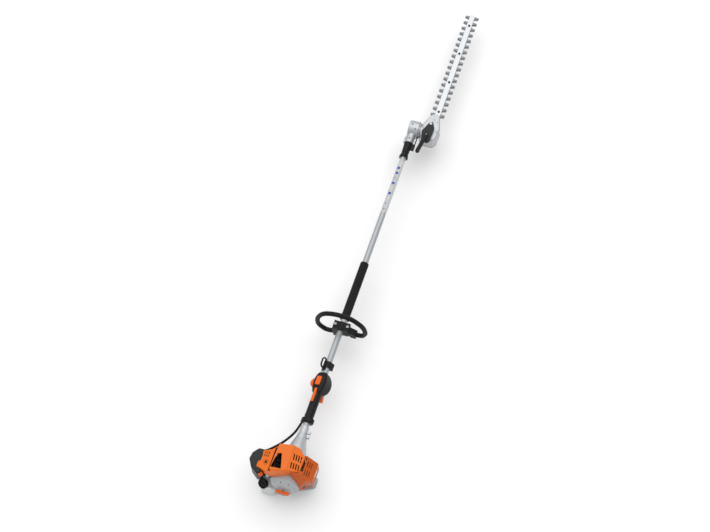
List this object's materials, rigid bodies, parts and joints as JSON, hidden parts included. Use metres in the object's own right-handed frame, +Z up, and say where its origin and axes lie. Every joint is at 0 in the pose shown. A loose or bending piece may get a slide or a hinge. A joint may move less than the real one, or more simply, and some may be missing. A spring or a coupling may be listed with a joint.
{
  "type": "hedge trimmer",
  "caption": "Engine-driven long-reach hedge trimmer: pole with control handle and loop handle, tilting head and double-sided reciprocating cutter bar.",
  "frame": {"origin": "centre of the underside of the engine's foot, where it rests on the ground", "axes": "+X along the pole from the engine to the cutter, +Y towards the air filter, +Z up"},
  "size_m": [2.43, 0.2574, 0.2291],
  "materials": {
    "orange_shell": "moulded orange plastic, semi-gloss",
    "red_control": "moulded red-orange plastic",
    "black_plastic": "fine moulded grain",
    "dark_grey_plastic": "fine moulded grain",
    "light_grey_plastic": "moulded light grey plastic",
    "tank_plastic": "milky translucent tank plastic",
    "cast_aluminium": "die-cast and lightly blasted",
    "silver_paint": "silver powder coat",
    "steel": "ground steel",
    "blued_steel": "black oxide",
    "black_rubber": "ribbed black rubber",
    "foam": "closed-cell foam",
    "filter_felt": "pleated filter felt",
    "red_gasket": "red gasket"
  },
  "bodies": {
    "housing": {"support_stand": "light_grey_plastic", "fuel_tank": "tank_plastic", "crankcase": "cast_aluminium", "cylinder": "cast_aluminium", "spark_plug": "steel", "plug_boot": "black_rubber", "ignition_module": "black_plastic", "clutch_housing": "silver_paint", "starter_cover": "light_grey_plastic", "recoil_spring": "steel", "case_screws": "steel", "shroud_top": "orange_shell", "muffler": "silver_paint", "muffler_guard": "orange_shell", "carburettor": "black_plastic", "filter_base": "black_plastic", "filter_element": "filter_felt", "filter_cover": "dark_grey_plastic", "drive_tube": "silver_paint", "shaft_bushings": "black_plastic", "foam_grip": "foam", "handle_shell_left": "black_plastic", "handle_shell_right": "black_plastic", "throttle_cable": "black_rubber", "carrying_eye": "black_plastic", "harness_clamp": "black_plastic", "shaft_gearbox": "cast_aluminium"},
    "crank": {"crankshaft": "steel", "flywheel": "cast_aluminium", "clutch_shoes": "steel"},
    "piston": {"piston": "cast_aluminium"},
    "pulley": {"starter_pulley": "black_plastic"},
    "pull_grip": {"starter_grip": "orange_shell", "starter_rope": "black_rubber"},
    "driveline": {"clutch_drum": "steel", "drive_shaft": "steel", "drive_pinion": "steel"},
    "pivot_train": {"pivot_gears": "steel"},
    "cap": {"fuel_cap": "black_plastic"},
    "choke": {"choke_lever": "red_control"},
    "primer": {"primer_bulb": "tank_plastic"},
    "trigger": {"throttle_trigger": "red_control"},
    "lockout": {"lockout_lever": "orange_shell"},
    "stop": {"stop_button": "orange_shell"},
    "wheel": {"speed_wheel": "orange_shell"},
    "loop": {"loop_handlebar": "black_rubber", "loop_clamp_base": "black_plastic", "loop_clamp_cap": "black_plastic", "loop_clamp_bolts": "steel"},
    "sleeve": {"locking_sleeve": "black_plastic"},
    "head": {"blade_gearbox": "cast_aluminium", "gearbox_cover": "black_plastic", "gearbox_gasket": "red_gasket", "gearbox_base": "cast_aluminium", "swivel_lever": "black_plastic", "guide_bar": "steel", "bar_screws": "steel"},
    "cutter_crank": {"crank_gear": "steel"},
    "upper_cutter": {"upper_blade": "steel"},
    "lower_cutter": {"lower_blade": "steel"}
  },
  "joints": [
    {"name": "crank_spin", "type": "hinge", "parent": "housing", "child": "crank", "pos_m": [0, 0, 0.118], "axis": [1, 0, 0], "continuous": true},
    {"name": "piston_travel", "type": "slide", "parent": "housing", "child": "piston", "axis": [0, 0, 1], "range_m": [-0.012, 0.012]},
    {"name": "rope_pull", "type": "slide", "parent": "housing", "child": "pull_grip", "axis": [-1, 0, 0], "range_m": [0, 0.5], "stiffness_N_per_m": 15, "springref_m": -0.4},
    {"name": "pulley_spin", "type": "hinge", "parent": "housing", "child": "pulley", "pos_m": [0, 0, 0.118], "axis": [1, 0, 0], "range_deg": [0, 1310]},
    {"name": "drive_spin", "type": "hinge", "parent": "housing", "child": "driveline", "pos_m": [0, 0, 0.118], "axis": [1, 0, 0], "continuous": true},
    {"name": "pivot_gear_spin", "type": "hinge", "parent": "housing", "child": "pivot_train", "pos_m": [1.64, 0, 0.118], "axis": [0, 1, 0], "continuous": true},
    {"name": "head_tilt", "type": "hinge", "parent": "housing", "child": "head", "pos_m": [1.64, 0, 0.118], "axis": [0, 1, 0], "range_deg": [-180, 90]},
    {"name": "crank_gear_spin", "type": "hinge", "parent": "head", "child": "cutter_crank", "pos_m": [1.64, -0.075, 0.118], "axis": [0, 0, 1], "continuous": true},
    {"name": "upper_stroke", "type": "slide", "parent": "head", "child": "upper_cutter", "axis": [1, 0, 0], "range_m": [-0.0115, 0.0055]},
    {"name": "lower_stroke", "type": "slide", "parent": "head", "child": "lower_cutter", "axis": [1, 0, 0], "range_m": [-0.0055, 0.0115]},
    {"name": "sleeve_slide", "type": "slide", "parent": "housing", "child": "sleeve", "axis": [-1, 0, 0], "range_m": [0, 0.014], "stiffness_N_per_m": 800, "springref_m": -0.012},
    {"name": "throttle_pull", "type": "hinge", "parent": "housing", "child": "trigger", "pos_m": [0.367, -0.01011, 0.09297], "axis": [0, 0.9272, -0.3746], "range_deg": [0, 12], "stiffness_Nm_per_rad": 0.3, "springref_deg": -22.92},
    {"name": "lockout_press", "type": "hinge", "parent": "housing", "child": "lockout", "pos_m": [0.347, 0.0073, 0.13608], "axis": [0, -0.9272, 0.3746], "range_deg": [0, 4], "stiffness_Nm_per_rad": 0.3, "springref_deg": -11.46},
    {"name": "stop_press", "type": "slide", "parent": "housing", "child": "stop", "axis": [0, -0.3746, -0.9272], "range_m": [0, 0.0022], "stiffness_N_per_m": 800, "springref_m": -0.003},
    {"name": "wheel_turn", "type": "hinge", "parent": "housing", "child": "wheel", "pos_m": [0.374, 0.01576, 0.11163], "axis": [0, 0.3746, 0.9272], "range_deg": [-30, 30]},
    {"name": "choke_turn", "type": "hinge", "parent": "housing", "child": "choke", "pos_m": [-0.05, 0.09, 0.172], "axis": [1, 0, 0], "range_deg": [0, 70]},
    {"name": "primer_press", "type": "slide", "parent": "housing", "child": "primer", "axis": [1, 0, 0], "range_m": [0, 0.004], "stiffness_N_per_m": 600, "springref_m": -0.002},
    {"name": "cap_turn", "type": "hinge", "parent": "housing", "child": "cap", "pos_m": [-0.054, 0.079, 0.091], "axis": [-0.7181, 0.3192, 0.6184], "range_deg": [0, 90]},
    {"name": "loop_slide", "type": "slide", "parent": "housing", "child": "loop", "axis": [1, 0, 0], "range_m": [-0.06, 0.01]}
  ],
  "couplings": [
    {"joint": "pulley_spin", "follows": "rope_pull", "rad_per_m": 45.455},
    {"joint": "pivot_gear_spin", "follows": "drive_spin", "ratio": -1},
    {"joint": "crank_gear_spin", "follows": "drive_spin", "ratio": -1},
    {"joint": "lower_stroke", "follows": "upper_stroke", "ratio": -1}
  ]
}
